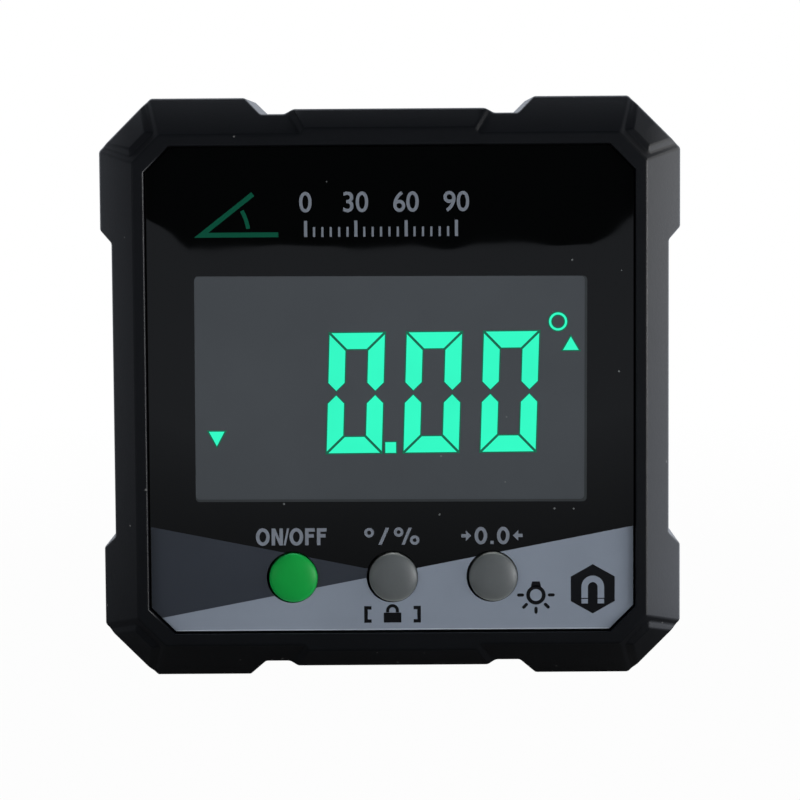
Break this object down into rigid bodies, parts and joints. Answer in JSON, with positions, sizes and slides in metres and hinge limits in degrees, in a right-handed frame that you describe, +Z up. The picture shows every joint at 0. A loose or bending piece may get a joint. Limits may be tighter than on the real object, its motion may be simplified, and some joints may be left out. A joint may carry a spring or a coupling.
{
  "type": "digital angle gauge",
  "caption": "Square digital angle gauge with a faceted bumper case, a glossy front panel over a display, push buttons, a magnetic base and a sliding battery door.",
  "frame": {"origin": "centre of the case's footprint, on the surface that the base stands on", "axes": "+Z up, the display faces -Y, +X to the right as the display is read"},
  "size_m": [0.06, 0.028, 0.06],
  "materials": {
    "case_plastic": "fine moulded texture",
    "panel": "polished, black print behind clear acrylic",
    "adhesive": "thin sheet",
    "display": "dark display glass with mint segments",
    "light_guide": "clear moulded acrylic",
    "holder_plastic": "moulded",
    "elastomer": "soft strip",
    "seal": "soft moulded ring",
    "board": "green solder mask",
    "chip": "moulded",
    "switch_plastic": "moulded",
    "plunger_plastic": "moulded",
    "green_button": "satin moulded",
    "grey_button": "satin moulded",
    "cell": "plain wrap",
    "contact_metal": "nickel plated",
    "screw_steel": "zinc plated",
    "magnet": "nickel plated"
  },
  "bodies": {
    "case": {"front_housing": "case_plastic", "rear_cover": "case_plastic", "front_panel": "panel", "panel_adhesive": "adhesive", "lcd_glass": "display", "backlight_guide": "light_guide", "lcd_holder": "holder_plastic", "connector_strip": "elastomer", "main_board": "board", "board_screws": "screw_steel", "controller_chip": "chip", "tilt_sensor": "chip", "on_off_switch": "switch_plastic", "hold_switch": "switch_plastic", "zero_switch": "switch_plastic", "upper_cell": "cell", "lower_cell": "cell", "positive_contact": "contact_metal", "negative_contact": "contact_metal", "link_contact": "contact_metal", "upper_spring": "contact_metal", "lower_spring": "contact_metal", "case_screws": "screw_steel", "case_seal": "seal", "left_magnet": "magnet", "right_magnet": "magnet"},
    "on_off_key": {"on_off_button": "green_button", "on_off_plunger": "plunger_plastic"},
    "hold_key": {"hold_button": "grey_button", "hold_plunger": "plunger_plastic"},
    "zero_key": {"zero_button": "grey_button", "zero_plunger": "plunger_plastic"},
    "door": {"battery_door": "case_plastic"}
  },
  "joints": [
    {"name": "on_off_press", "type": "slide", "parent": "case", "child": "on_off_key", "axis": [0, 1, 0], "range_m": [0, 0.0005], "stiffness_N_per_m": 1500},
    {"name": "hold_press", "type": "slide", "parent": "case", "child": "hold_key", "axis": [0, 1, 0], "range_m": [0, 0.0005], "stiffness_N_per_m": 1500},
    {"name": "zero_press", "type": "slide", "parent": "case", "child": "zero_key", "axis": [0, 1, 0], "range_m": [0, 0.0005], "stiffness_N_per_m": 1500},
    {"name": "door_slide", "type": "slide", "parent": "case", "child": "door", "axis": [1, 0, 0], "range_m": [0, 0.054]}
  ]
}
